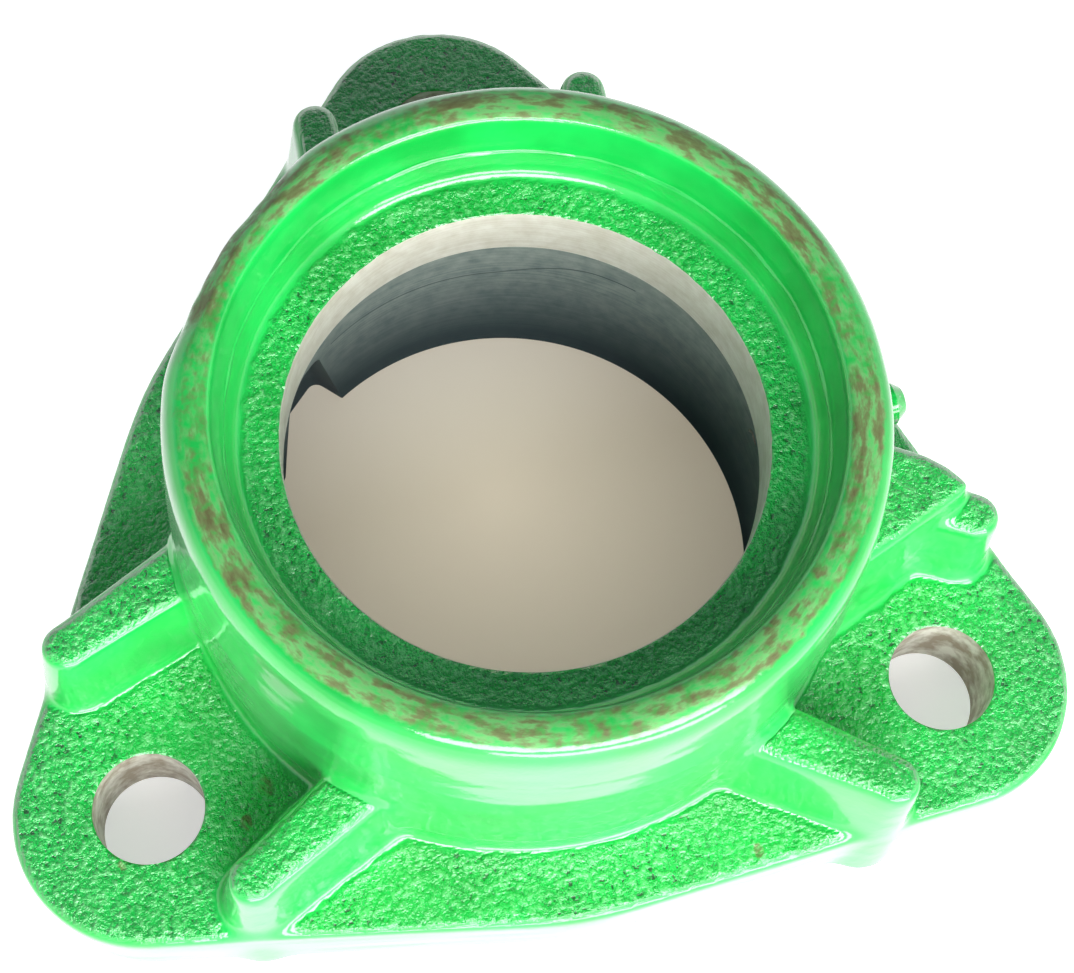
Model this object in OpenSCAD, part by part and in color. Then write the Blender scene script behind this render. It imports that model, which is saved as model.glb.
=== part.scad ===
// Cast flange housing for one ball bearing, with a grease fitting in its wall.
// Origin on the bore axis at the mounting face, +Z towards the open end of the boss.

/* [Bore] */
// Diameter of the machined seat that the bearing is pressed into
seat_d = 72; // [64:0.5:80]
// Length of the machined seat
seat_len = 17; // [12:0.5:22]
// Depth from the mounting face to the shoulder behind the bearing
seat_depth = 40; // [34:0.5:44]
// How much wider than the seat the entry below it is bored
entry_extra = 1; // [0.8:0.1:2]
// Diameter of the hole through the lip
lip_d = 65; // [56:0.5:68]
// Thickness of the lip
lip_len = 9.5; // [6:0.5:12]

/* [Boss] */
// Outside diameter of the boss
boss_d = 94; // [90:0.5:104]
// Height of the boss's rim above the mounting face
boss_h = 61.5; // [56:0.5:72]
// Diameter of the rough recess above the lip, at its floor
recess_floor_d = 79; // [74:0.5:82]
// Diameter of the recess at the rim
recess_rim_d = 81.6; // [79:0.2:84]
// Radius of the rim's outer edge
rim_round = 2.6; // [1:0.1:3]
// Radius of the corner between the recess's floor and its wall
recess_round = 3; // [1:0.1:4]
// Radius of the hollow corner between the boss and the flange
foot_round = 3; // [1.5:0.1:5]

/* [Flange] */
// Thickness of the flange
flange_t = 14; // [10:0.5:18]
// Outside diameter of the flange between its ears
flange_d = 118; // [110:0.5:124]
// Radius of an ear's round end
ear_r = 19; // [15:0.5:22]
// Diameter of the circle that the bolt holes lie on
bolt_circle_d = 133; // [126:0.5:142]
// Diameter of a bolt hole
bolt_hole_d = 15.5; // [10.5:0.5:17.5]

/* [Ribs] */
// Distance from an ear's centre line to the middle of its counter-clockwise rib
rib_offset_ccw = 19.7; // [18:0.1:22]
// Distance from an ear's centre line to the middle of its clockwise rib
rib_offset_cw = 21.4; // [18:0.1:22]
// Height of the ribs' flat tops above the mounting face
rib_top_z = 29.5; // [24:0.5:36]
// Width of a rib's top at its round outer end
rib_end_w = 6.4; // [4:0.2:8]
// Reach of a rib's top from the bore axis, along its ear
rib_reach = 65.7; // [62:0.1:70]
// Angle at which the side facing the bolt hole widens towards the boss
rib_flare = 6; // [2:0.5:9]
// Draft of the ribs' sides, in degrees
rib_draft = 6.4; // [3:0.2:8]

/* [Gusset] */
// Height of the gusset's flat top above the mounting face
gusset_top_z = 33.8; // [31:0.2:38]
// How far out along the ear the gusset's front wall meets its rib
gusset_reach = 59.6; // [54:0.2:62]
// How far across the ear the gusset's front wall starts at the boss
gusset_start = 1.8; // [0:0.2:6]
// How far the gusset stands out past its rib
gusset_past_rib = 1; // [0.4:0.2:2]

/* [Notch] */
// Direction of the notch in the entry's wall, in degrees from +X
notch_angle = 138; // [130:1:150]
// Radius of the notch's back wall
notch_r = 41.1; // [38:0.1:43]
// Height of the notch above the mounting face
notch_h = 25; // [18:0.5:30]
// Width of the notch at the mounting face
notch_w = 16; // [10:0.5:20]
// Slant of the notch's sides, in degrees
notch_slant = 11; // [5:1:16]

/* [Grease fitting] */
// Direction of the fitting, in degrees from +X
fitting_angle = 6.5; // [4:0.5:12]
// Height of the fitting above the mounting face
fitting_z = 24; // [22.5:0.5:30]
// How far the cast pad around the fitting stands out of the boss
pad_rise = 1.8; // [1:0.1:3]
// Outside diameter of the fitting's screwed end
thread_d = 8; // [6:0.5:10]
// Length of the fitting's screwed end
thread_len = 5.2; // [4:0.1:6]
// Size of the hexagon across its flats
hex_w = 9; // [8:0.5:11]
// Height of the hexagon
hex_h = 4.5; // [3.5:0.1:5]
// Diameter of the fitting's head
head_d = 6.6; // [6:0.1:7]
// Diameter of the neck under the head
neck_d = 4.9; // [4.5:0.1:5.4]
// Length of the neck and head together
head_len = 6; // [5.6:0.1:7]
// Diameter of the hole in the tip of the head
inlet_d = 1.6; // [1.2:0.1:2]
// Diameter of the ball that closes the head
ball_d = 2.5; // [2.2:0.1:2.8]
// How far grease pushes the ball inwards
ball_travel = 0.6; // [0.3:0.1:0.8]
// Wire thickness of the spring behind the ball
wire_d = 0.4; // [0.3:0.05:0.5]
// Number of turns in the spring
spring_turns = 5; // [4:1:7]

/* [Hidden] */
$fn = 96;
through = 1;           // how far a cut runs past the face that it opens
running_gap = 0.05;    // clearance around the ball and at the spring's ends

seat_r = seat_d / 2;
entry_r = seat_r + entry_extra / 2;
entry_len = seat_depth - seat_len;
lip_r = lip_d / 2;
lip_top_z = seat_depth + lip_len;
boss_r = boss_d / 2;
recess_floor_r = recess_floor_d / 2;
recess_rim_r = recess_rim_d / 2;

ear_count = 3;
flange_r = flange_d / 2;
bolt_circle_r = bolt_circle_d / 2;
ear_step = 360 / ear_count;
first_ear = 90;
gusset_ear = first_ear + 2 * ear_step;
// angle from an ear's centre line to where a straight edge touches the ear's round and the flange's
edge_angle = acos((flange_r - ear_r) / bolt_circle_r);

rib_end_r = rib_end_w / 2;
rib_swell = 0.15;       // how far a rib's round end stands proud of its sides
rib_end_x = rib_reach - rib_end_r;
rib_root_x = entry_r;

gusset_nose = 2.6;      // how far the gusset's blunt nose runs along its rib's side
gusset_run = 7;         // length over which its far side eases out to full width

// the fitting's own axis starts at the pad's flat face
pad_d = hex_w / cos(30) + 2;
pad_r = boss_r + pad_rise;
port_end = 0.6;         // bare end of the tapped port past the screwed end
passage_d = 3;
tip_len = 1.6;          // length of the head's cone up to its tip
band_len = 1;           // length of the head's straight band
shoulder_len = 1;       // length of the cone from the neck out to the band
chamber_d = ball_d + 2 * running_gap;
fitting_len = hex_h + head_len;
band_x = fitting_len - tip_len;
tip_r = head_d / 2 - tip_len * 0.75;
// distance of the ball's centre from the spot face when it closes the inlet
ball_x = fitting_len - 1.1 - sqrt(ball_d * ball_d - inlet_d * inlet_d) / 2;
spring_floor_x = 1 - thread_len;
spring_tip_x = ball_x - ball_travel - ball_d / 2 - running_gap;
coil_r = (chamber_d - wire_d) / 2 - running_gap;
coil_rise = spring_tip_x - spring_floor_x - wire_d - running_gap;
wire_sides = 6;
turn_steps = 16;

// points of an arc from angle a0 to a1 about [x, y]
function arc(x, y, r, a0, a1, steps) =
    [for (i = [0:steps]) let (a = a0 + (a1 - a0) * i / steps) [x + r * cos(a), y + r * sin(a)]];

module at_ears() {
    for (i = [0:ear_count - 1]) rotate(first_ear + i * ear_step) children();
}

// the flange's outline: round ears, straight edges, and the flange's own round between them
module outline() {
    polygon([for (i = [0:ear_count - 1]) let (a = first_ear + i * ear_step)
        each concat(arc(bolt_circle_r * cos(a), bolt_circle_r * sin(a), ear_r, a - edge_angle, a + edge_angle, 20),
                    arc(0, 0, flange_r, a + edge_angle, a + ear_step - edge_angle, 4))]);
}

module boss() {
    rotate_extrude()
        polygon(concat([[0, 0], [boss_r + foot_round, 0]],
                       arc(boss_r + foot_round, flange_t + foot_round, foot_round, 270, 180, 5),
                       arc(boss_r - rim_round, boss_h - rim_round, rim_round, 0, 90, 5),
                       [[0, boss_h]]));
}

// the space inside the boss: entry, bearing seat, lip and rough recess
module bore() {
    translate([0, 0, -through]) cylinder(r = entry_r, h = entry_len + through);
    translate([0, 0, entry_len - through]) cylinder(r = seat_r, h = seat_len + through);
    translate([0, 0, seat_depth - through]) cylinder(r = lip_r, h = lip_len + 2 * through);
    slope = (recess_rim_r - recess_floor_r) / (boss_h - lip_top_z);
    rotate_extrude()
        polygon(concat([[0, lip_top_z]],
                       arc(recess_floor_r - recess_round, lip_top_z + recess_round, recess_round, 270, 360, 4),
                       [[recess_rim_r + slope * through, boss_h + through], [0, boss_h + through]]));
}

// half the width of a rib's end at height z, which its draft makes wider lower down
function rib_half(z) = rib_end_r + (rib_top_z - z) * tan(rib_draft);

// a rib up to height top_z, on the side of its ear given by +1 or -1, before its top is levelled:
// a cone at the outer end, a straight outer side, and an inner side that flares towards the boss
module rib(side, top_z) {
    offset_y = side > 0 ? rib_offset_ccw : rib_offset_cw;
    translate([rib_end_x, side * offset_y, 0]) {
        cylinder(r1 = rib_half(0) + rib_swell, r2 = rib_half(top_z) + rib_swell, h = top_z);
        for (i = [1, 2]) let (z = top_z - i * through)
            rotate([90, 0, 270 + (i - 1) * side * rib_flare]) linear_extrude(rib_end_x - rib_root_x)
                polygon([[-rib_half(0), 0], [rib_half(0), 0], [rib_half(z), z], [-rib_half(z), z]]);
    }
}

// all the ribs, levelled by one cut
module ribs() {
    top_z = rib_top_z + 3 * through;
    difference() {
        at_ears() for (side = [-1, 1]) rib(side, top_z);
        translate([0, 0, rib_top_z]) cylinder(r = bolt_circle_r + ear_r, h = top_z);
    }
}

// plan of the gusset's top: it fills the corner between the boss and one rib
module gusset_plan() {
    rib_side = rib_offset_ccw + rib_end_r;
    back_y = rib_side + gusset_past_rib;
    polygon([[entry_r, gusset_start], [boss_r, gusset_start],
             [gusset_reach - gusset_nose / 10, rib_side - gusset_nose],
             [gusset_reach, rib_side - gusset_nose * 0.4],
             [gusset_reach - gusset_run / 2, back_y - gusset_past_rib * 0.6],
             [gusset_reach - gusset_run, back_y], [entry_r, back_y - gusset_past_rib * 0.8]]);
}

module gusset() {
    skin = 0.01;
    hull() {
        linear_extrude(skin) offset(delta = gusset_top_z * tan(rib_draft)) gusset_plan();
        translate([0, 0, gusset_top_z - skin]) linear_extrude(skin) gusset_plan();
    }
}

// moves what is drawn along +Z at the origin to the pad's face, pointing out of the boss
module at_fitting() {
    rotate(fitting_angle) translate([pad_r, 0, fitting_z]) rotate([0, 90, 0]) children();
}

module notch() {
    top_w = notch_w - 2 * notch_h * tan(notch_slant);
    low_w = notch_w + 2 * through * tan(notch_slant);
    intersection() {
        translate([0, 0, -through]) cylinder(r = notch_r, h = notch_h + through);
        rotate([90, 0, notch_angle + 90]) linear_extrude(notch_r + through)
            polygon([[-low_w / 2, -through], [low_w / 2, -through], [top_w / 2, notch_h], [-top_w / 2, notch_h]]);
    }
}

module housing() {
    color("limegreen")
    difference() {
        union() {
            linear_extrude(flange_t) outline();
            boss();
            ribs();
            rotate(gusset_ear) gusset();
            at_fitting() translate([0, 0, entry_r - pad_r]) cylinder(d = pad_d, h = pad_r - entry_r);
        }
        bore();
        notch();
        at_ears() translate([bolt_circle_r, 0, -through])
            cylinder(d = bolt_hole_d, h = flange_t + rib_top_z);
        at_fitting() {
            translate([0, 0, -thread_len - port_end]) cylinder(d = thread_d, h = thread_len + port_end + through);
            translate([0, 0, seat_r - pad_r - passage_d]) cylinder(d = passage_d, h = pad_r - seat_r);
        }
    }
}

module grease_fitting() {
    color("limegreen")
    at_fitting()
    difference() {
        union() {
            translate([0, 0, -thread_len]) cylinder(d = thread_d, h = thread_len + 0.01);
            cylinder(d = hex_w / cos(30), h = hex_h, $fn = 6);
            rotate_extrude()
                polygon([[0, 0], [neck_d / 2, 0], [neck_d / 2, band_x - band_len - shoulder_len],
                         [head_d / 2, band_x - band_len], [head_d / 2, band_x],
                         [tip_r, fitting_len], [0, fitting_len]]);
        }
        translate([0, 0, spring_floor_x]) cylinder(d = chamber_d, h = ball_x - spring_floor_x);
        translate([0, 0, ball_x]) sphere(d = chamber_d);
        translate([0, 0, ball_x]) cylinder(d = inlet_d, h = fitting_len);
        translate([0, 0, -thread_len - through]) cylinder(d = inlet_d, h = thread_len);
    }
}

module check_ball() {
    color("silver") at_fitting() translate([0, 0, ball_x]) sphere(d = ball_d);
}

// the spring's wire, swept along a helix
module check_spring() {
    count = spring_turns * turn_steps;
    rings = [for (i = [0:count]) let (a = 360 * i / turn_steps, z = coil_rise * i / count)
        for (j = [0:wire_sides - 1]) let (b = 360 * j / wire_sides, r = coil_r + wire_d / 2 * cos(b))
            [r * cos(a), r * sin(a), z + wire_d / 2 * sin(b)]];
    walls = [for (i = [0:count - 1], j = [0:wire_sides - 1])
        let (k = (j + 1) % wire_sides, low = i * wire_sides, high = low + wire_sides)
        each [[low + j, high + j, high + k], [low + j, high + k, low + k]]];
    color("silver")
    at_fitting() translate([0, 0, spring_floor_x + wire_d / 2 + running_gap])
        polyhedron(points = rings, faces = concat(walls,
            [[for (j = [0:wire_sides - 1]) j], [for (j = [wire_sides - 1:-1:0]) count * wire_sides + j]]));
}

housing();
grease_fitting();
check_ball();
check_spring();
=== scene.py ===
import math

import bmesh
import bpy
import numpy as np
from mathutils import Matrix, Vector


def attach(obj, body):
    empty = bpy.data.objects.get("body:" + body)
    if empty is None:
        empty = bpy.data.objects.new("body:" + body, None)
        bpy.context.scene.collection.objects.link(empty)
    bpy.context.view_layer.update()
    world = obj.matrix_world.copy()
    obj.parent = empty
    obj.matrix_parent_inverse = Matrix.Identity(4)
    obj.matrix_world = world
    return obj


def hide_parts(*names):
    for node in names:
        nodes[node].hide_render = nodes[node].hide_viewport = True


# a cast flange housing for one ball bearing, sprayed with green gloss enamel

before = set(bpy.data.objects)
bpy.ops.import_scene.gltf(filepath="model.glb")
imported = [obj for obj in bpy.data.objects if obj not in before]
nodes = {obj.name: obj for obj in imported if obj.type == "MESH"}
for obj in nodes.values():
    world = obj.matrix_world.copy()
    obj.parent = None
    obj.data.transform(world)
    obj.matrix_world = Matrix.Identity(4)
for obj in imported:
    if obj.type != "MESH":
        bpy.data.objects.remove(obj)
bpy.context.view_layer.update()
mm = 0.001

# sizes that the source gives the solid, in mm and degrees
solid = {
    "entryR": 36.5, "entryTop": 23.0,
    "seatR": 36.0, "seatTop": 40.0,
    "lipR": 32.5, "lipTop": 49.5,
    "bossR": 47.0, "bossTop": 61.5,
    "recessR": 40.8,
    "flangeT": 14.0, "holeCircle": 66.5, "holeR": 7.75, "ears": (90, 210, 330),
    "notchAngle": 138, "notchR": 41.1, "notchTop": 25.0, "notchHalf": 8.0, "notchSlant": 11,
    "portAngle": 6.5, "portZ": 24.0, "portR": 1.5,
}


def onCircle(radius, degrees):
    # x and y of a point on a circle round the bore
    a = math.radians(degrees)
    return radius * math.cos(a), radius * math.sin(a)


holeCentres = [onCircle(solid["holeCircle"], ear) for ear in solid["ears"]]


def addObject(name, data):
    piece = bpy.data.objects.new(name, data)
    bpy.context.scene.collection.objects.link(piece)
    return piece


# where the photo was taken from, in mm, and the directions of the picture's axes
camera = {
    "place": (-34.455, -102.536, 312.179),
    "right": (0.98144, -0.18109, 0.06306),
    "down": (-0.14771, -0.92367, -0.35358),
    "ahead": (0.12227, 0.3377, -0.93328),
    "lens": 71.98, "sensorMm": 36,
    "clip": (0.01, 20),
}


def placeCamera():
    data = bpy.data.cameras.new("photoCamera")
    data.sensor_fit = "HORIZONTAL"
    data.sensor_width = camera["sensorMm"]
    data.lens = camera["lens"]
    data.clip_start, data.clip_end = camera["clip"]
    eye = addObject("photoCamera", data)
    right = Vector(camera["right"]).normalized()
    down = Vector(camera["down"]).normalized()
    ahead = Vector(camera["ahead"]).normalized()
    eye.matrix_world = Matrix((right, -down, -ahead)).transposed().to_4x4()
    eye.location = Vector(camera["place"]) * mm
    bpy.context.scene.camera = eye


placeCamera()
print("camera placed")


def hexColour(text):
    # an sRGB hex value as linear red, green, blue, alpha
    parts = [int(text[i:i + 2], 16) / 255 for i in (1, 3, 5)]
    return tuple(c / 12.92 if c <= 0.04045 else ((c + 0.055) / 1.055) ** 2.4 for c in parts) + (1,)


def addNode(tree, kind, settings=None, links=None):
    # settings: properties or input values by name or number, or a colour ramp's stops as
    # (place, colour or grey); links: input -> output socket
    node = tree.nodes.new(kind)
    for key, value in (settings or {}).items():
        if key == "stops":
            while len(node.color_ramp.elements) < len(value):
                node.color_ramp.elements.new(0.5)
            for element, (place, tone) in zip(node.color_ramp.elements, value):
                element.position = place
                element.color = hexColour(tone) if isinstance(tone, str) else (tone, tone, tone, 1)
        elif isinstance(key, str) and hasattr(node, key):
            setattr(node, key, value)
        else:
            node.inputs[key].default_value = value
    for key, socket in (links or {}).items():
        tree.links.new(socket, node.inputs[key])
    return node


def newMaterial(name):
    material = bpy.data.materials.new(name)
    material.use_nodes = True
    material.node_tree.nodes.clear()
    return material, material.node_tree


enamel = {
    "base": "#1BE75E", "shade": "#11C84A", "pitShade": "#044A1A", "peakHighlight": "#ABF8B4",
    "rust": "#736743", "bare": "#83905A", "chalk": "#84D07A", "scratch": "#4FDD6C",
    "roughness": 0.35, "coat": 1.0, "coatRoughness": 0.05, "coatIor": 1.7,
    "rubbedRoughness": 0.6, "rubbedCoat": 0.15,
    "sheen": 0.05, "sheenRoughness": 0.4,
    # cloud: slow change of shade; grain: the sand's; wallGrain: share of its depth off the flat faces
    "cloudMm": 14, "grainMm": 0.95, "grainDepthMm": 0.85, "coatGrain": 0.75, "wallGrain": 0.04,
    # the pit stops and colour: painted shade in the grain's pits and creases; the peak stops and colour:
    # painted highlight on its peaks
    "pitShadeStops": [(0.34, 0.95), (0.42, 0.0), (0.477, 0.0), (0.496, 0.95), (0.515, 0.0)],
    "peakHighlightStops": [(0.5, 0.0), (0.68, 0.5)],
    "roughPatchMm": 16, "roughPatches": [(0.38, 0.35), (0.56, 1.0)],
    # the rubbed rim: length and width of its streaks, and the mix of wear and fine noise
    "streakMm": 4.5, "laneMm": 1.3, "fineMm": 1.4, "wearShare": 0.55, "fineShare": 0.6,
    "rubbed": [(0.56, 0.0), (0.8, 0.95)],
    # the step round the recess's wall
    "stepMm": 0.45, "stepZ": 55.4, "stepHalfMm": 0.5, "stepWanderMm": 1.6, "stepWithin": 43,
}


def grainColour(tree, spot, flat, grain, cloud):
    # on the sand grain: painted shade, dark and near black, in the pits and creases, and painted highlight,
    # pale, on the peaks
    tones = [(0.35, enamel["shade"]), (0.6, enamel["base"])]
    tone = addNode(tree, "ShaderNodeValToRGB", {"stops": tones}, {"Fac": cloud}).outputs["Color"]
    pitShadeMask = addNode(tree, "ShaderNodeValToRGB", {"stops": enamel["pitShadeStops"]}, {"Fac": grain}).outputs["Color"]
    patch = addNode(tree, "ShaderNodeTexNoise", {"Scale": 1 / (enamel["roughPatchMm"] * mm), "Detail": 3.0},
                    {"Vector": spot}).outputs["Fac"]
    coarse = addNode(tree, "ShaderNodeValToRGB", {"stops": enamel["roughPatches"]},
                     {"Fac": patch}).outputs["Color"]
    pitShadeThere = addNode(tree, "ShaderNodeMath", {"operation": "MULTIPLY"}, {0: pitShadeMask, 1: coarse}).outputs[0]
    pitShadeHere = addNode(tree, "ShaderNodeMath", {"operation": "MULTIPLY"}, {0: pitShadeThere, 1: flat}).outputs[0]
    pitShaded = addNode(tree, "ShaderNodeMix", {"data_type": "RGBA", 7: hexColour(enamel["pitShade"])},
                     {0: pitShadeHere, 6: tone}).outputs[2]
    peakHighlight = addNode(tree, "ShaderNodeValToRGB", {"stops": enamel["peakHighlightStops"]}, {"Fac": grain}).outputs["Color"]
    peakHighlightHere = addNode(tree, "ShaderNodeMath", {"operation": "MULTIPLY"}, {0: peakHighlight, 1: flat}).outputs[0]
    return addNode(tree, "ShaderNodeMix", {"data_type": "RGBA", 7: hexColour(enamel["peakHighlight"])},
                   {0: peakHighlightHere, 6: pitShaded}).outputs[2]


def rimColour(tree, level, reach):
    # streaks that run round the rubbed rim, some bare iron, some chalky paint
    heading = addNode(tree, "ShaderNodeVectorMath", {"operation": "NORMALIZE"}, {0: level}).outputs[0]
    around = addNode(tree, "ShaderNodeVectorMath",
                     {"operation": "SCALE", 3: solid["bossR"] / enamel["streakMm"]},
                     {0: heading}).outputs[0]
    lane = addNode(tree, "ShaderNodeMath", {"operation": "MULTIPLY", 1: 1 / (enamel["laneMm"] * mm)},
                   {0: reach}).outputs[0]
    climb = addNode(tree, "ShaderNodeCombineXYZ", {}, {"Z": lane}).outputs[0]
    along = addNode(tree, "ShaderNodeVectorMath", {"operation": "ADD"}, {0: around, 1: climb}).outputs[0]
    streak = addNode(tree, "ShaderNodeTexNoise", {"Scale": 1.0, "Detail": 4.0, "Roughness": 0.6},
                     {"Vector": along}).outputs["Fac"]
    tones = [(0.3, enamel["rust"]), (0.45, enamel["bare"]), (0.55, enamel["chalk"]), (0.66, enamel["scratch"])]
    return addNode(tree, "ShaderNodeValToRGB", {"stops": tones}, {"Fac": streak}).outputs["Color"]


def rubbedThrough(tree, spot, wear):
    # 1 where the paint is worn off, broken up by fine noise
    fine = addNode(tree, "ShaderNodeTexNoise", {"Scale": 1 / (enamel["fineMm"] * mm), "Detail": 3.0},
                   {"Vector": spot}).outputs["Fac"]
    share = addNode(tree, "ShaderNodeMath", {"operation": "MULTIPLY", 1: enamel["wearShare"]},
                    {0: wear}).outputs[0]
    rubbed = addNode(tree, "ShaderNodeMath", {"operation": "MULTIPLY_ADD", 1: enamel["fineShare"]},
                     {0: fine, 2: share}).outputs[0]
    return addNode(tree, "ShaderNodeValToRGB", {"stops": enamel["rubbed"]}, {"Fac": rubbed}).outputs["Color"]


def recessStep(tree, spot, reach, cloud):
    # a small step runs round the recess's wall, where the core met the mould
    parts = addNode(tree, "ShaderNodeSeparateXYZ", {}, {"Vector": spot})
    wander = addNode(tree, "ShaderNodeMath", {"operation": "MULTIPLY_ADD", 1: enamel["stepWanderMm"] * mm},
                     {0: cloud, 2: parts.outputs["Z"]}).outputs[0]
    step = addNode(tree, "ShaderNodeMapRange",
                   {"interpolation_type": "SMOOTHSTEP",
                    "From Min": (enamel["stepZ"] - enamel["stepHalfMm"]) * mm,
                    "From Max": (enamel["stepZ"] + enamel["stepHalfMm"]) * mm, "To Min": 1.0, "To Max": 0.0},
                   {"Value": wander}).outputs[0]
    inside = addNode(tree, "ShaderNodeMath", {"operation": "LESS_THAN", 1: enamel["stepWithin"] * mm},
                     {0: reach}).outputs[0]
    stepHere = addNode(tree, "ShaderNodeMath", {"operation": "MULTIPLY"}, {0: step, 1: inside}).outputs[0]
    return addNode(tree, "ShaderNodeBump", {"Strength": 1.0, "Distance": enamel["stepMm"] * mm},
                   {"Height": stepHere}).outputs[0]


def greenEnamel():
    # gloss enamel sprayed on a sand casting: wet gloss on the drafted walls, painted shade in the pits and
    # painted highlight on the peaks of the grain of the flat faces, rubbed through to iron on the rim
    material, tree = newMaterial("glossEnamelOnSandCastIron")
    spot = addNode(tree, "ShaderNodeTexCoord").outputs["Object"]
    flat = addNode(tree, "ShaderNodeAttribute", {"attribute_name": "grain"}).outputs["Fac"]
    wear = addNode(tree, "ShaderNodeAttribute", {"attribute_name": "wear"}).outputs["Fac"]
    grain = addNode(tree, "ShaderNodeTexNoise",
                    {"Scale": 1 / (enamel["grainMm"] * mm), "Detail": 3.0, "Roughness": 0.6},
                    {"Vector": spot}).outputs["Fac"]
    cloud = addNode(tree, "ShaderNodeTexNoise", {"Scale": 1 / (enamel["cloudMm"] * mm), "Detail": 3.0},
                    {"Vector": spot}).outputs["Fac"]
    level = addNode(tree, "ShaderNodeVectorMath", {"operation": "MULTIPLY", 1: (1, 1, 0)},
                    {0: spot}).outputs[0]
    reach = addNode(tree, "ShaderNodeVectorMath", {"operation": "LENGTH"}, {0: level}).outputs["Value"]
    painted = grainColour(tree, spot, flat, grain, cloud)
    rubbed = rubbedThrough(tree, spot, wear)
    colour = addNode(tree, "ShaderNodeMix", {"data_type": "RGBA"},
                     {0: rubbed, 6: painted, 7: rimColour(tree, level, reach)}).outputs[2]
    rough = addNode(tree, "ShaderNodeMapRange",
                    {"To Min": enamel["roughness"], "To Max": enamel["rubbedRoughness"]},
                    {"Value": rubbed}).outputs[0]
    coat = addNode(tree, "ShaderNodeMapRange", {"To Min": enamel["coat"], "To Max": enamel["rubbedCoat"]},
                   {"Value": rubbed}).outputs[0]
    depth = addNode(tree, "ShaderNodeMapRange", {"To Min": enamel["wallGrain"], "To Max": 1.0},
                    {"Value": flat}).outputs[0]
    height = addNode(tree, "ShaderNodeMath", {"operation": "MULTIPLY"}, {0: grain, 1: depth}).outputs[0]
    step = recessStep(tree, spot, reach, cloud)
    bumps = [addNode(tree, "ShaderNodeBump", {"Strength": share, "Distance": enamel["grainDepthMm"] * mm},
                     {"Height": height, "Normal": step}).outputs[0]
             for share in (1.0, enamel["coatGrain"])]
    # the sheen is a thin bloom of dust
    skin = addNode(tree, "ShaderNodeBsdfPrincipled",
                   {"IOR": 1.5, "Coat Roughness": enamel["coatRoughness"], "Coat IOR": enamel["coatIor"],
                    "Sheen Weight": enamel["sheen"], "Sheen Roughness": enamel["sheenRoughness"]},
                   {"Base Color": colour, "Roughness": rough, "Coat Weight": coat, "Normal": bumps[0],
                    "Coat Normal": bumps[1]})
    addNode(tree, "ShaderNodeOutputMaterial", {}, {"Surface": skin.outputs[0]})
    return material


turned = {
    # lip and seat are one iron: the lip's tones are painted lit, the seat's painted shaded
    "lip": ("#E8E0CE", "#FCF7EA"), "seat": ("#90A09B", "#C0CAC1"), "boreShade": "#183842",
    "metallic": 0.3, "roughness": 0.5, "smoother": 0.08, "rougher": 0.1,
    "around": 40.0, "lineMm": 0.35, "lineDepthMm": 0.012, "blotchMm": 2.5,
    # painted shade darkens the seat from the first height down to the second
    "boreShadeZ": (37, 4), "boreShadeShare": 0.9,
    # the painted shade line along the tool's small step climbs between two heights as x goes from the first to
    # the second
    "markX": (2, 18), "markZ": (25, 28.5), "markHalfMm": 0.16, "markBeyondY": 28, "markShare": 0.6,
}


def paintBoreShade(tree, spot, colour):
    # painted shade, darker low in the bore, and one painted shade line along the small step that a tool left
    # across the far wall
    parts = addNode(tree, "ShaderNodeSeparateXYZ", {}, {"Vector": spot})
    low = addNode(tree, "ShaderNodeMapRange",
                  {"From Min": turned["boreShadeZ"][0] * mm, "From Max": turned["boreShadeZ"][1] * mm, "To Min": 0.0,
                   "To Max": turned["boreShadeShare"]}, {"Value": parts.outputs["Z"]}).outputs[0]
    shadedLow = addNode(tree, "ShaderNodeMix", {"data_type": "RGBA", 7: hexColour(turned["boreShade"])},
                    {0: low, 6: colour}).outputs[2]
    climb = addNode(tree, "ShaderNodeMapRange",
                    {"interpolation_type": "SMOOTHSTEP", "From Min": turned["markX"][0] * mm,
                     "From Max": turned["markX"][1] * mm, "To Min": turned["markZ"][0] * mm,
                     "To Max": turned["markZ"][1] * mm}, {"Value": parts.outputs["X"]}).outputs[0]
    off = addNode(tree, "ShaderNodeMath", {"operation": "SUBTRACT"},
                  {0: parts.outputs["Z"], 1: climb}).outputs[0]
    near = addNode(tree, "ShaderNodeMath", {"operation": "COMPARE", 1: 0.0, 2: turned["markHalfMm"] * mm},
                   {0: off}).outputs[0]
    far = addNode(tree, "ShaderNodeMath", {"operation": "GREATER_THAN", 1: turned["markBeyondY"] * mm},
                  {0: parts.outputs["Y"]}).outputs[0]
    mark = addNode(tree, "ShaderNodeMath", {"operation": "MULTIPLY"}, {0: near, 1: far}).outputs[0]
    faint = addNode(tree, "ShaderNodeMath", {"operation": "MULTIPLY", 1: turned["markShare"]},
                    {0: mark}).outputs[0]
    return addNode(tree, "ShaderNodeMix", {"data_type": "RGBA", 7: hexColour(turned["boreShade"])},
                   {0: faint, 6: shadedLow}).outputs[2]


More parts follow.
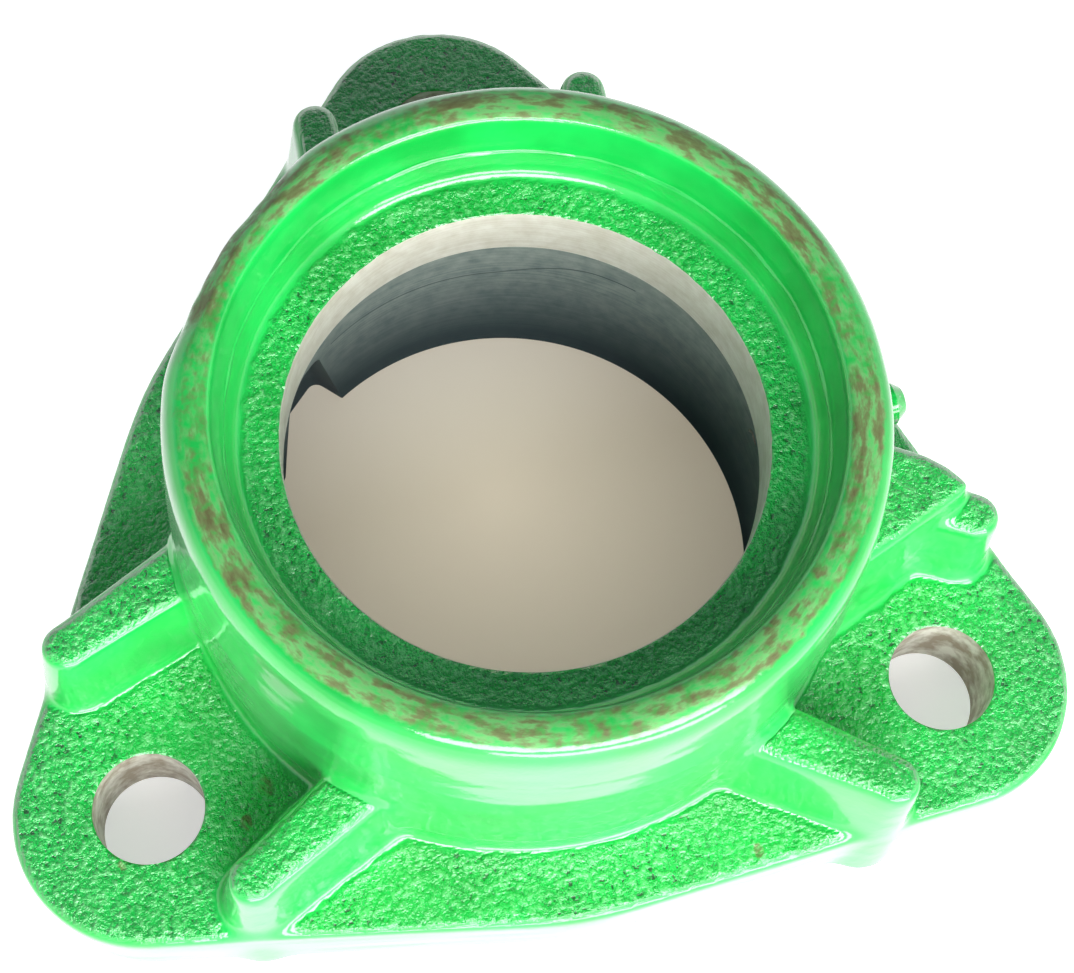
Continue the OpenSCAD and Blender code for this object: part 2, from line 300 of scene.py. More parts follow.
def turnedIron(name, tones, withBoreShade):
    # grey cast iron bored on a lathe: satin, with fine rings round the bore
    material, tree = newMaterial(name)
    spot = addNode(tree, "ShaderNodeTexCoord").outputs["Object"]
    squeezed = addNode(tree, "ShaderNodeMapping",
                       {"Scale": (turned["around"], turned["around"], 1 / (turned["lineMm"] * mm))},
                       {"Vector": spot}).outputs[0]
    rings = addNode(tree, "ShaderNodeTexNoise", {"Scale": 1.0, "Detail": 3.0},
                    {"Vector": squeezed}).outputs["Fac"]
    blotch = addNode(tree, "ShaderNodeTexNoise",
                     {"Scale": 1 / (turned["blotchMm"] * mm), "Detail": 4.0, "Roughness": 0.6},
                     {"Vector": spot}).outputs["Fac"]
    both = addNode(tree, "ShaderNodeMath", {"operation": "MULTIPLY_ADD", 1: 0.6},
                   {0: rings, 2: blotch}).outputs[0]
    colour = addNode(tree, "ShaderNodeValToRGB", {"stops": [(0.55, tones[0]), (1.0, tones[1])]},
                     {"Fac": both}).outputs["Color"]
    if withBoreShade:
        colour = paintBoreShade(tree, spot, colour)
    rough = addNode(tree, "ShaderNodeMapRange", {"To Min": turned["roughness"] - turned["smoother"],
                                                 "To Max": turned["roughness"] + turned["rougher"]},
                    {"Value": blotch}).outputs[0]
    bump = addNode(tree, "ShaderNodeBump", {"Strength": 0.5, "Distance": turned["lineDepthMm"] * mm},
                   {"Height": rings}).outputs[0]
    skin = addNode(tree, "ShaderNodeBsdfPrincipled", {"Metallic": turned["metallic"]},
                   {"Base Color": colour, "Roughness": rough, "Normal": bump})
    addNode(tree, "ShaderNodeOutputMaterial", {}, {"Surface": skin.outputs[0]})
    return material


drilled = {
    "tone": "#E2DDD1", "stain": "#A39480", "roughness": 0.5, "metallic": 0.3,
    "around": 60.0, "lineMm": 0.5, "lineDepthMm": 0.03, "blotchMm": 3.5,
}


def drilledIron():
    # drilled bolt holes: duller than the bore, with brown stains from bolts
    material, tree = newMaterial("drilledGreyIron")
    spot = addNode(tree, "ShaderNodeTexCoord").outputs["Object"]
    blotch = addNode(tree, "ShaderNodeTexNoise",
                     {"Scale": 1 / (drilled["blotchMm"] * mm), "Detail": 4.0, "Roughness": 0.6},
                     {"Vector": spot}).outputs["Fac"]
    tones = [(0.38, drilled["stain"]), (0.6, drilled["tone"])]
    colour = addNode(tree, "ShaderNodeValToRGB", {"stops": tones}, {"Fac": blotch}).outputs["Color"]
    squeezed = addNode(tree, "ShaderNodeMapping",
                       {"Scale": (drilled["around"], drilled["around"], 1 / (drilled["lineMm"] * mm))},
                       {"Vector": spot}).outputs[0]
    rings = addNode(tree, "ShaderNodeTexNoise", {"Scale": 1.0, "Detail": 2.0},
                    {"Vector": squeezed}).outputs["Fac"]
    bump = addNode(tree, "ShaderNodeBump", {"Strength": 0.6, "Distance": drilled["lineDepthMm"] * mm},
                   {"Height": rings}).outputs[0]
    skin = addNode(tree, "ShaderNodeBsdfPrincipled",
                   {"Metallic": drilled["metallic"], "Roughness": drilled["roughness"]},
                   {"Base Color": colour, "Normal": bump})
    addNode(tree, "ShaderNodeOutputMaterial", {}, {"Surface": skin.outputs[0]})
    return material


fitting = {"chip": "#C9D2C6", "roughness": 0.22, "coatRoughness": 0.05, "cloudMm": 1.5, "dentMm": 0.05}


def fittingEnamel():
    # the same enamel on the smooth turned steel of the grease nipple, chipped to steel in places
    material, tree = newMaterial("glossEnamelOnTurnedSteel")
    spot = addNode(tree, "ShaderNodeTexCoord").outputs["Object"]
    cloud = addNode(tree, "ShaderNodeTexNoise", {"Scale": 1 / (fitting["cloudMm"] * mm), "Detail": 4.0},
                    {"Vector": spot}).outputs["Fac"]
    tones = [(0.4, enamel["shade"]), (0.58, enamel["base"]), (0.7, fitting["chip"])]
    colour = addNode(tree, "ShaderNodeValToRGB", {"stops": tones}, {"Fac": cloud}).outputs["Color"]
    bump = addNode(tree, "ShaderNodeBump", {"Strength": 0.3, "Distance": fitting["dentMm"] * mm},
                   {"Height": cloud}).outputs[0]
    skin = addNode(tree, "ShaderNodeBsdfPrincipled",
                   {"Roughness": fitting["roughness"], "Coat Weight": 1.0,
                    "Coat Roughness": fitting["coatRoughness"]},
                   {"Base Color": colour, "Normal": bump})
    addNode(tree, "ShaderNodeOutputMaterial", {}, {"Surface": skin.outputs[0]})
    return material


ball = {"tone": "#D5D7DA", "roughness": 0.12}
spring = {"tone": "#B4B6B8", "roughness": 0.25}
greaseFilmMm = 0.6


def polishedSteel(name, tone, roughness):
    # hardened ball or drawn spring wire: bright, faintly mottled by grease
    material, tree = newMaterial(name)
    spot = addNode(tree, "ShaderNodeTexCoord").outputs["Object"]
    film = addNode(tree, "ShaderNodeTexNoise", {"Scale": 1 / (greaseFilmMm * mm), "Detail": 2.0},
                   {"Vector": spot}).outputs["Fac"]
    rough = addNode(tree, "ShaderNodeMapRange", {"To Min": roughness * 0.7, "To Max": roughness * 1.4},
                    {"Value": film}).outputs[0]
    skin = addNode(tree, "ShaderNodeBsdfPrincipled", {"Metallic": 1.0, "Base Color": hexColour(tone)},
                   {"Roughness": rough})
    addNode(tree, "ShaderNodeOutputMaterial", {}, {"Surface": skin.outputs[0]})
    return material


def dress(name, material):
    slots = nodes[name].data.materials
    slots.clear()
    slots.append(material)


paint = greenEnamel()
# one turned iron in two copies: the lip's painted lit, the seat's painted shaded and darker towards the bottom
lipIron = turnedIron("turnedGreyIronPaintedLit", turned["lip"], False)
seatIron = turnedIron("boredGreyIronPaintedShade", turned["seat"], True)
holeIron = drilledIron()
dress("housing", paint)
dress("grease_fitting", fittingEnamel())
dress("check_ball", polishedSteel("hardenedBallSteel", ball["tone"], ball["roughness"]))
dress("check_spring", polishedSteel("drawnSpringWire", spring["tone"], spring["roughness"]))
print("materials made")


# in mm and degrees
casting = {
    "voxelMm": 0.48,
    "roundPasses": 22,        # rounds the cast edges to about 1.4 mm
    "rimPasses": 60,          # and the rim's outer edge, which has been knocked about, to about 2.3 mm
    "fillPasses": 28,         # fills the cast corners to about 2 mm
    "rootPasses": 80,         # and the ribs' roots on the boss to about 4 mm
    "rootR": (44, 56), "rootZ": (12, 36),
    "fillFrom": 0.0004,       # a corner counts as hollow from this pull
    "swellMm": 0.1, "swellCellMm": 9,
    "grainMm": 0.08, "grainCellMm": 1.4,
    "rippleMm": 0.055, "rippleCellMm": 3.0, "rippleAround": 14, "rippleUp": 1.3,
    "draft": 0.068, "draftFrom": 43,
    "ridgeMm": 0.35, "ridgeZ": 54.5, "ridgeHalfMm": 0.8, "ridgeWanderMm": 0.6,
    "rimWearMm": 1.3,
    # x, y, z and radius of each chip
    "chips": ((-41.2, -32.9, 15, 1.5), (-44.5, -37.5, 14, 0.9), (-62, -40.5, 14, 0.7),
              (25.5, -53.5, 14, 0.8)),
    "boreChamfer": 0.4, "lipChamfer": 0.3, "holeChamfer": 0.25,
    "sharpAngle": 38,
}

# where an effect fades in, or out, as (start, end): in mm from the bore's axis or above the
# mounting face, in degrees round the axis, or as the upward share of a normal
zones = {
    "outerEdgeR": (43.6, 45), "outerEdgeZ": (54, 57),
    "rimR": (39.5, 41), "rimZ": (59.5, 61),
    "outsideR": (44, 46), "wallR": (45.2, 46.2), "pastWallR": (47.6, 50), "aboveFlangeZ": (14, 20),
    "recessR": (37.5, 39), "pastRecessR": (42, 43), "recessZ": (50.5, 52),
    "groundFrom": (118, 132), "groundTo": (152, 168), "groundR": (42, 46), "groundZ": (51, 58.5),
    "rubbedRimR": (40.2, 41.2), "rubbedRimZ": (60.2, 61.2), "bandR": (40.4, 41.6), "pastBandR": (44.6, 46.6),
    "bareFrom": (116, 130), "bareTo": (152, 168), "bareR": (41, 43), "bareZ": (55, 58),
    "grainUp": (0.85, 0.98), "paintUp": (0.88, 0.985),
}

slotOf = {"paint": 0, "seat": 1, "hole": 2, "lip": 3}


def lattice(cells, seed):
    # a repeatable number from -1 to 1 for each whole-number cell
    k = cells.astype(np.int64)
    h = (k[:, 0] * 374761393 + k[:, 1] * 668265263 + k[:, 2] * 2147483647 + seed * 974634777) & 0xFFFFFFFF
    h = ((h ^ (h >> 13)) * 1274126177) & 0xFFFFFFFF
    h = h ^ (h >> 16)
    return (h & 0xFFFF) / 32767.5 - 1


def smoothNoise(points, cell, seed):
    # soft random hills of the given width, from -1 to 1
    p = points / cell
    low = np.floor(p)
    t = p - low
    t = t * t * (3 - 2 * t)
    total = np.zeros(len(p))
    for corner in range(8):
        step = np.array([corner & 1, (corner >> 1) & 1, (corner >> 2) & 1])
        share = np.prod(np.where(step, t, 1 - t), axis=1)
        total += share * lattice(low + step, seed)
    return total


def rise(x, low, high):
    # 0 below low, 1 above high, smooth between
    t = np.clip((x - low) / (high - low), 0, 1)
    return t * t * (3 - 2 * t)


def hill(x, middle, half):
    return np.exp(-((x - middle) / half) ** 2)


def polar(points):
    # distance from the bore's axis, and degrees round it
    r = np.hypot(points[:, 0], points[:, 1])
    return r, np.degrees(np.arctan2(points[:, 1], points[:, 0])) % 360


def readPoints(mesh):
    points = np.empty(len(mesh.vertices) * 3)
    mesh.vertices.foreach_get("co", points)
    return points.reshape(-1, 3) / mm


def writePoints(mesh, points):
    mesh.vertices.foreach_set("co", (points * mm).ravel().astype(np.float32))
    mesh.update()


def readNormals(mesh):
    normals = np.empty(len(mesh.vertices) * 3, np.float32)
    mesh.vertex_normals.foreach_get("vector", normals)
    return normals.reshape(-1, 3).astype(float)


def castBlank():
    # the raw casting: the solid with its machined bores filled, in an even skin of small faces;
    # it starts 2 mm low, so that the mounting face is cut sharp later
    below = 2
    shape = bmesh.new()
    shape.from_mesh(nodes["housing"].data)
    bmesh.ops.remove_doubles(shape, verts=shape.verts, dist=1e-6)
    for v in shape.verts:
        if v.co.z < 0.01 * mm:
            v.co.z = -below * mm
    fills = [(0, 0, solid["notchR"] + 2, solid["notchTop"] + 3),
             (0, 0, solid["recessR"] - 2.8, solid["lipTop"])]
    fills += [(x, y, solid["holeR"] + 1.2, solid["flangeT"]) for x, y in holeCentres]
    for x, y, radius, top in fills:
        place = Matrix.Translation((x * mm, y * mm, (top - below) / 2 * mm))
        bmesh.ops.create_cone(shape, cap_ends=True, segments=128, radius1=radius * mm, radius2=radius * mm,
                              depth=(top + below) * mm, matrix=place)
    mesh = bpy.data.meshes.new("castBlank")
    shape.to_mesh(mesh)
    shape.free()
    blank = addObject("castBlank", mesh)
    remesh = blank.modifiers.new("skin", "REMESH")
    remesh.mode = "VOXEL"
    remesh.voxel_size = casting["voxelMm"] * mm
    return blank


def applyModifiers(piece):
    bpy.context.view_layer.update()
    graph = bpy.context.evaluated_depsgraph_get()
    made = bpy.data.meshes.new_from_object(piece.evaluated_get(graph))
    piece.modifiers.clear()
    piece.data = made
    return made


def soften(mesh, points):
    # rounds edges and fills corners as sand moulding does
    pairs = np.empty(len(mesh.edges) * 2, np.int32)
    mesh.edges.foreach_get("vertices", pairs)
    a, b = pairs.reshape(-1, 2).T
    count = np.bincount(a, minlength=len(points)) + np.bincount(b, minlength=len(points))

    def pull(p):
        total = [np.bincount(a, p[b, k], len(p)) + np.bincount(b, p[a, k], len(p)) for k in range(3)]
        return np.stack(total, 1) / count[:, None] - p

    r, _ = polar(points)
    z = points[:, 2]
    root = (r > casting["rootR"][0]) & (r < casting["rootR"][1])
    root &= (z > casting["rootZ"][0]) & (z < casting["rootZ"][1])
    normals = readNormals(mesh)
    for turn in range(casting["rootPasses"]):
        step = pull(points) * 0.5
        out = (step * normals).sum(1)
        where = out > casting["fillFrom"]
        if turn >= casting["fillPasses"]:
            where &= root
        points[where] += (normals * out[:, None])[where]
        if turn % 10 == 9:
            writePoints(mesh, points)
            normals = readNormals(mesh)
    rim = rise(r, *zones["outerEdgeR"]) * rise(points[:, 2], *zones["outerEdgeZ"])
    for turn in range(casting["rimPasses"]):
        share = 0.5 if turn < casting["roundPasses"] else 0.5 * rim[:, None]
        points += pull(points) * share
    return points


def carveSkin(mesh, points):
    # everything that the mould, the sand and years of use left on the casting
    writePoints(mesh, points)
    normals = readNormals(mesh)
    r, angle = polar(points)
    z = points[:, 2]
    out = np.stack([points[:, 0] / r, points[:, 1] / r, np.zeros(len(r))], 1)
    up = rise(normals[:, 2], *zones["grainUp"])
    rim = rise(z, *zones["rimZ"]) * rise(r, *zones["rimR"])
    # waviness of the whole casting, and finer ripples along the boss's wall
    swell = smoothNoise(points, casting["swellCellMm"], 1) * casting["swellMm"]
    around = np.stack([np.cos(np.radians(angle)) * casting["rippleAround"],
                       np.sin(np.radians(angle)) * casting["rippleAround"], z * casting["rippleUp"]], 1)
    ripple = smoothNoise(around, casting["rippleCellMm"], 2) * casting["rippleMm"]
    ripple = ripple * (1 - up) * rise(r, *zones["outsideR"])
    grain = smoothNoise(points, casting["grainCellMm"], 3)
    grain = grain + 0.6 * smoothNoise(points, casting["grainCellMm"] * 0.6, 4)
    grain *= casting["grainMm"] * up * (1 - rim)
    points = points + normals * (swell * (1 - rim) + ripple + grain)[:, None]
    # the boss's wall leans in a little towards its top, so that it left the sand
    lean = np.clip(solid["bossTop"] - np.maximum(z, casting["draftFrom"]), 0, None) * casting["draft"]
    onWall = rise(r, *zones["wallR"]) * (1 - rise(r, *zones["pastWallR"])) * rise(z, *zones["aboveFlangeZ"])
    points += out * (lean * onWall)[:, None]
    # ridge where the recess's core met the mould
    wall = rise(r, *zones["recessR"]) * (1 - rise(r, *zones["pastRecessR"])) * rise(z, *zones["recessZ"])
    wander = smoothNoise(points, 6, 5) * casting["ridgeWanderMm"]
    ridge = hill(z + wander, casting["ridgeZ"], casting["ridgeHalfMm"])
    ridge *= 0.55 + 0.45 * smoothNoise(points, 4, 6)
    points -= out * (ridge * wall * casting["ridgeMm"])[:, None]
    # the rim's outer edge is ground away on one side
    side = rise(angle, *zones["groundFrom"]) * (1 - rise(angle, *zones["groundTo"]))
    ground = side * rise(z, *zones["groundZ"]) * rise(r, *zones["groundR"])
    ground *= 1 + 0.15 * smoothNoise(points, 3, 7)
    points -= out * (ground * casting["rimWearMm"])[:, None]
    points[:, 2] = np.minimum(points[:, 2], solid["bossTop"])
    return points


def addCutter(name, shape):
    bmesh.ops.recalc_face_normals(shape, faces=shape.faces)
    mesh = bpy.data.meshes.new(name)
    shape.to_mesh(mesh)
    shape.free()
    return addObject(name, mesh)


def closeRings(shape, rings):
    # walls between rings of points that lie over each other, and a cap at each end
    for low, high in zip(rings, rings[1:]):
        for k in range(len(low)):
            shape.faces.new((low[k], low[k - 1], high[k - 1], high[k]))
    shape.faces.new(rings[0])
    shape.faces.new(rings[-1])


def lathe(name, outline, x=0.0, y=0.0, steps=256):
    # a closed turned shape from (radius, z) points, bottom to top
    shape = bmesh.new()
    rings = []
    for radius, z in outline:
        rings.append([shape.verts.new(((x + radius * math.cos(2 * math.pi * k / steps)) * mm,
                                       (y + radius * math.sin(2 * math.pi * k / steps)) * mm, z * mm))
                      for k in range(steps)])
    closeRings(shape, rings)
    return addCutter(name, shape)


# height and how much the plan has shrunk there; the inner end stays inside the bore
notch = {
    "levels": ((-3, 0), (0, 0), (6, 0), (12, 0), (18, 0), (solid["notchTop"] - 2, 0),
               (solid["notchTop"] - 0.9, 0.25), (solid["notchTop"] - 0.2, 0.9), (solid["notchTop"], 1.8)),
    "innerX": 34, "cornerR": 1.6, "innerCornerR": 0.2, "cornerSteps": 5,
}


def notchCutter():
    # the tapered notch at the mouth of the bore, with round corners
    shape = bmesh.new()
    rings = []
    turn = math.radians(solid["notchAngle"])
    inner = notch["innerX"]
    for z, less in notch["levels"]:
        half = solid["notchHalf"] - max(z, 0) * math.tan(math.radians(solid["notchSlant"])) - less
        outer = solid["notchR"] - less
        ring = []
        for x0, y0, start in ((inner, -half, 180), (outer, -half, 270), (outer, half, 0), (inner, half, 90)):
            corner = notch["cornerR"] if x0 > inner else notch["innerCornerR"]
            cx = x0 - corner if x0 > inner else x0 + corner
            cy = y0 + corner if y0 < 0 else y0 - corner
            for k in range(notch["cornerSteps"] + 1):
                a = math.radians(start + 90 * k / notch["cornerSteps"])
                ring.append((cx + corner * math.cos(a), cy + corner * math.sin(a)))
        rings.append([shape.verts.new(((u * math.cos(turn) - v * math.sin(turn)) * mm,
                                       (u * math.sin(turn) + v * math.cos(turn)) * mm, z * mm))
                      for u, v in ring])
    closeRings(shape, rings)
    return addCutter("notchCutter", shape)


def portCutter():
    # the grease passage, from the bore out to the nipple
    middle = 39
    length = 9
    shape = bmesh.new()
    place = Matrix.Rotation(math.radians(solid["portAngle"]), 4, "Z")
    place = place @ Matrix.Translation((middle * mm, 0, solid["portZ"] * mm))
    place = place @ Matrix.Rotation(math.radians(90), 4, "Y")
    bmesh.ops.create_cone(shape, cap_ends=True, segments=48, radius1=solid["portR"] * mm,
                          radius2=solid["portR"] * mm, depth=length * mm, matrix=place)
    return addCutter("portCutter", shape)


def faceCutter():
    # a slab that cuts the mounting face flat
    thick = 6 * mm
    wide = 0.3
    shape = bmesh.new()
    place = Matrix.Translation((0, 0, -thick / 2)) @ Matrix.Diagonal((wide, wide, thick, 1))
    bmesh.ops.create_cube(shape, size=1, matrix=place)
    return addCutter("faceCutter", shape)


def cutBores(piece):
    s = solid
    c = casting
    bore = [(s["entryR"] + c["boreChamfer"], -2), (s["entryR"] + c["boreChamfer"], 0),
            (s["entryR"], c["boreChamfer"]), (s["entryR"], s["entryTop"]), (s["seatR"], s["entryTop"] + 0.5),
            (s["seatR"], s["seatTop"]), (s["lipR"], s["seatTop"]), (s["lipR"], s["lipTop"] - c["lipChamfer"]),
            (s["lipR"] + c["lipChamfer"], s["lipTop"] + c["lipChamfer"]),
            (s["lipR"] + c["lipChamfer"], s["lipTop"] + 1.5)]
    hole = [(s["holeR"], -2), (s["holeR"], s["flangeT"] - 0.3),
            (s["holeR"] + c["holeChamfer"], s["flangeT"] + 1.5)]
    cutters = [faceCutter(), lathe("boreCutter", bore), notchCutter(), portCutter()]
    cutters += [lathe("holeCutter", hole, x, y, 128) for x, y in holeCentres]
    for cutter in cutters:
        cut = piece.modifiers.new(cutter.name, "BOOLEAN")
        cut.operation = "DIFFERENCE"
        cut.solver = "MANIFOLD"
        cut.object = cutter
    applyModifiers(piece)
    for cutter in cutters:
        bpy.data.objects.remove(cutter)


def faceCentres(mesh):
    centres = np.empty(len(mesh.polygons) * 3)
    normals = np.empty(len(mesh.polygons) * 3)
    mesh.polygons.foreach_get("center", centres)
    mesh.polygons.foreach_get("normal", normals)
    return centres.reshape(-1, 3) / mm, normals.reshape(-1, 3)


def turnedBack(centres, degrees):
    # x and y of the face centres in a frame turned by so many degrees
    a = math.radians(degrees)
    ahead = centres[:, 0] * math.cos(a) + centres[:, 1] * math.sin(a)
    return ahead, centres[:, 1] * math.cos(a) - centres[:, 0] * math.sin(a)


def paintFaces(mesh):
    for material in (paint, seatIron, holeIron, lipIron):
        mesh.materials.append(material)
    centres, normals = faceCentres(mesh)
    r, _ = polar(centres)
    z = centres[:, 2]
    inward = -(centres[:, :2] * normals[:, :2]).sum(1) / np.maximum(r, 1e-6)
    s = solid
    slots = np.full(len(centres), slotOf["paint"], np.int32)
    bore = (r < s["entryR"] + 0.5) & (z < s["lipTop"] + 0.35) & (inward > 0.6)
    _, aside = turnedBack(centres, s["portAngle"])
    inPort = np.hypot(aside, z - s["portZ"]) < s["portR"] + 0.05
    slots[inPort & (r < 44) & (centres[:, 0] > 30)] = slotOf["hole"]
    # the seat's iron, the painted-shade copy, also goes on the shoulder, the mounting face and the notch
    shoulder = (r < s["entryR"] + 0.1) & (z > s["entryTop"] - 1) & (z < s["seatTop"] + 0.5)
    slots[bore | (shoulder & (normals[:, 2] < -0.5))] = slotOf["seat"]
    slots[bore & (z > s["seatTop"])] = slotOf["lip"]
    slots[(z < 0.02) & (normals[:, 2] < -0.9)] = slotOf["seat"]
    ahead, aside = turnedBack(centres, s["notchAngle"])
    inNotch = (ahead > 33) & (ahead < s["notchR"] + 0.02) & (abs(aside) < s["notchHalf"] + 0.02)
    slots[inNotch & (z < s["notchTop"] + 0.02) & (z > 0.02)] = slotOf["seat"]
    for x, y in holeCentres:
        dx = centres[:, 0] - x
        dy = centres[:, 1] - y
        d = np.hypot(dx, dy)
        facing = -(dx * normals[:, 0] + dy * normals[:, 1]) / np.maximum(d, 1e-6)
        slots[(d < s["holeR"] + 0.4) & (facing > 0.6) & (z < s["flangeT"] + 0.4)] = slotOf["hole"]
    mesh.polygons.foreach_set("material_index", slots)


def addMask(mesh, name, values):
    mask = mesh.attributes.new(name, "FLOAT", "POINT")
    mask.data.foreach_set("value", values.astype(np.float32))


def maskSkin(mesh):
    # where the flat faces show their grain, with its painted shade and painted highlight, and where the paint
    # is worn
    points = readPoints(mesh)
    normals = readNormals(mesh)
    r, angle = polar(points)
    z = points[:, 2]
    rim = rise(z, *zones["rubbedRimZ"]) * rise(r, *zones["rubbedRimR"])
    flat = rise(normals[:, 2], *zones["paintUp"]) * (1 - rim)
    band = rise(r, *zones["bandR"]) * (1 - rise(r, *zones["pastBandR"]))
    wear = rim * (0.25 + 0.75 * band) * (0.8 + 0.35 * smoothNoise(points, 11, 8))
    side = rise(angle, *zones["bareFrom"]) * (1 - rise(angle, *zones["bareTo"]))
    wear = np.maximum(wear, side * rise(z, *zones["bareZ"]) * rise(r, *zones["bareR"]) * 0.95)
    for x, y, height, radius in casting["chips"]:
        far = np.hypot(np.hypot(points[:, 0] - x, (points[:, 1] - y) * 0.7), z - height)
        wear = np.maximum(wear, 1.1 * (1 - rise(far, radius * 0.6, radius * 1.4)))
    addMask(mesh, "grain", flat)
    addMask(mesh, "wear", wear)


def makeCasting():
    piece = castBlank()
    mesh = applyModifiers(piece)
    points = readPoints(mesh)
    print("casting skin:", len(points), "points")
    points = soften(mesh, points)
    points = carveSkin(mesh, points)
    writePoints(mesh, points)
    cutBores(piece)
    mesh = piece.data
    mesh.materials.clear()
    paintFaces(mesh)
    maskSkin(mesh)
    mesh.shade_smooth()
    mesh.set_sharp_from_angle(angle=math.radians(casting["sharpAngle"]))
    piece.name = "castHousing"
    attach(piece, "housing_body")
    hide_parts("housing")
    print("casting made:", len(mesh.polygons), "faces")


makeCasting()


studio = {
    # floorGlow whitens the card evenly; the other glows and the warm tone are painted light on the card under
    # the bore and the holes
    "floorTone": "#D6D5D2", "poolTone": "#F5E4C6", "floorHalfM": 3,
    "floorGlow": 0.95, "borePoolLight": (0.56, 0.18), "holePoolLight": 0.52,
    # in mm: the card shows its shade inside these radii; the painted pool of light under the bore is brightest
    # at the point given and fades out over the radius given
    "shadeR": 45, "borePoolAt": (0, 10, 0), "borePoolR": 50, "holeShadeR": 11,
    "worldLight": 0.16, "ceiling": 0.18, "horizon": (0.35, 0.6), "skyTone": "#D4F0FF",
    "keyFrom": (0.09, -0.74, 0.67), "keySize": (1.15, 0.28), "keyWatts": 10.5,
    "windowFrom": (0.17, -0.95, 0.25), "windowSize": (0.9, 0.3), "windowWatts": 7.0,
    "lampAim": (0, 0, 0.03),
}


def sightRays(tree):
    # 1 for camera rays alone, and 1 for all rays that carry a picture
    path = addNode(tree, "ShaderNodeLightPath")
    direct = addNode(tree, "ShaderNodeMath", {"operation": "MAXIMUM"},
                     {0: path.outputs["Is Camera Ray"], 1: path.outputs["Is Glossy Ray"]}).outputs[0]
    seen = addNode(tree, "ShaderNodeMath", {"operation": "MAXIMUM"},
                   {0: direct, 1: path.outputs["Is Transmission Ray"]}).outputs[0]
    return path.outputs["Is Camera Ray"], seen


def floorPaper():
    # pale card: white to the camera; under the casting it shows its own tone in the shade, with painted light
    # added there for the camera
    material, tree = newMaterial("paleCard")
    byCamera, bySight = sightRays(tree)
    spot = addNode(tree, "ShaderNodeNewGeometry").outputs["Position"]
    # under the bore and the bolt holes the card shows its own shade, and gives off painted light there that
    # only the camera sees: a warm pool under the bore, brightest at its middle, and an even glow under each
    # hole
    far = addNode(tree, "ShaderNodeVectorMath", {"operation": "LENGTH"}, {0: spot}).outputs["Value"]
    outside = addNode(tree, "ShaderNodeMath", {"operation": "GREATER_THAN", 1: studio["shadeR"] * mm},
                      {0: far}).outputs[0]
    middle = tuple(v * mm for v in studio["borePoolAt"])
    near = addNode(tree, "ShaderNodeVectorMath", {"operation": "DISTANCE", 1: middle},
                   {0: spot}).outputs["Value"]
    poolUnderBore = addNode(tree, "ShaderNodeMapRange",
                     {"From Max": studio["borePoolR"] * mm, "To Min": studio["borePoolLight"][0],
                      "To Max": studio["borePoolLight"][1]}, {"Value": near}).outputs[0]
    glow = addNode(tree, "ShaderNodeMix", {3: studio["floorGlow"]}, {0: outside, 2: poolUnderBore}).outputs[0]
    seen = addNode(tree, "ShaderNodeMix", {}, {0: outside, 2: byCamera, 3: bySight}).outputs[0]
    tone = addNode(tree, "ShaderNodeMix",
                   {"data_type": "RGBA", 6: hexColour(studio["poolTone"]), 7: (1, 1, 1, 1)},
                   {0: outside}).outputs[2]
    for x, y in holeCentres:
        gap = addNode(tree, "ShaderNodeVectorMath", {"operation": "DISTANCE", 1: (x * mm, y * mm, 0)},
                      {0: spot}).outputs["Value"]
        beyond = addNode(tree, "ShaderNodeMath", {"operation": "GREATER_THAN", 1: studio["holeShadeR"] * mm},
                         {0: gap}).outputs[0]
        glow = addNode(tree, "ShaderNodeMix", {2: studio["holePoolLight"]}, {0: beyond, 3: glow}).outputs[0]
    strength = addNode(tree, "ShaderNodeMath", {"operation": "MULTIPLY"}, {0: glow, 1: seen}).outputs[0]
    card = addNode(tree, "ShaderNodeBsdfDiffuse", {"Color": hexColour(studio["floorTone"])})
    lit = addNode(tree, "ShaderNodeEmission", {}, {"Color": tone, "Strength": strength})
    both = addNode(tree, "ShaderNodeAddShader", {}, {0: card.outputs[0], 1: lit.outputs[0]})
    addNode(tree, "ShaderNodeOutputMaterial", {}, {"Surface": both.outputs[0]})
    return material


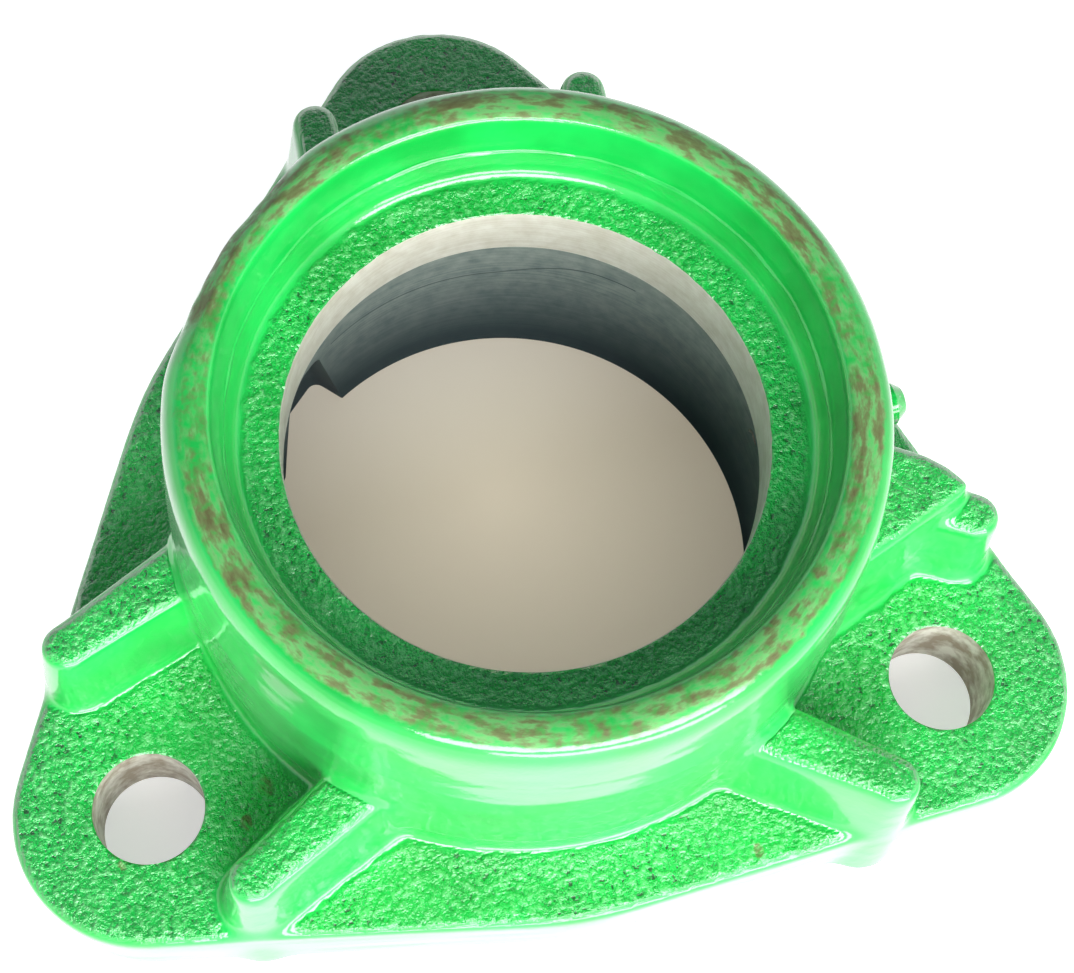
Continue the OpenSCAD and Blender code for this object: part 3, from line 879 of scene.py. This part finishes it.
def makeFloor():
    shape = bmesh.new()
    bmesh.ops.create_grid(shape, x_segments=1, y_segments=1, size=studio["floorHalfM"])
    mesh = bpy.data.meshes.new("floor")
    shape.to_mesh(mesh)
    shape.free()
    mesh.materials.append(floorPaper())
    floor = addObject("floor", mesh)


def makeWorld():
    world = bpy.data.worlds.new("studio")
    bpy.context.scene.world = world
    world.use_nodes = True
    tree = world.node_tree
    tree.nodes.clear()
    _, seen = sightRays(tree)
    # the backdrop is white down at the horizon and a dim ceiling overhead
    ray = addNode(tree, "ShaderNodeTexCoord").outputs["Generated"]
    climb = addNode(tree, "ShaderNodeSeparateXYZ", {}, {"Vector": ray}).outputs["Z"]
    backdrop = addNode(tree, "ShaderNodeMapRange",
                       {"From Min": studio["horizon"][0], "From Max": studio["horizon"][1], "To Min": 1.0,
                        "To Max": studio["ceiling"]}, {"Value": climb}).outputs[0]
    strength = addNode(tree, "ShaderNodeMix", {2: studio["worldLight"]}, {0: seen, 3: backdrop}).outputs[0]
    # the ceiling and its light are cool, the backdrop is white
    dim = addNode(tree, "ShaderNodeMath", {"operation": "LESS_THAN", 1: 0.99}, {0: strength}).outputs[0]
    hue = addNode(tree, "ShaderNodeMix",
                  {"data_type": "RGBA", 6: (1, 1, 1, 1), 7: hexColour(studio["skyTone"])},
                  {0: dim}).outputs[2]
    sky = addNode(tree, "ShaderNodeBackground", {}, {"Color": hue, "Strength": strength})
    addNode(tree, "ShaderNodeOutputWorld", {}, {"Surface": sky.outputs[0]})


def addLamp(name, place, size, watts):
    data = bpy.data.lights.new(name, "AREA")
    data.shape = "RECTANGLE"
    data.size, data.size_y = size
    data.energy = watts
    lamp = addObject(name, data)
    lamp.location = place
    lamp.rotation_euler = (Vector(studio["lampAim"]) - Vector(place)).to_track_quat("-Z", "Y").to_euler()


makeFloor()
makeWorld()
addLamp("key", studio["keyFrom"], studio["keySize"], studio["keyWatts"])
addLamp("window", studio["windowFrom"], studio["windowSize"], studio["windowWatts"])
bpy.context.scene.view_settings.view_transform = "Standard"
print("studio lit")
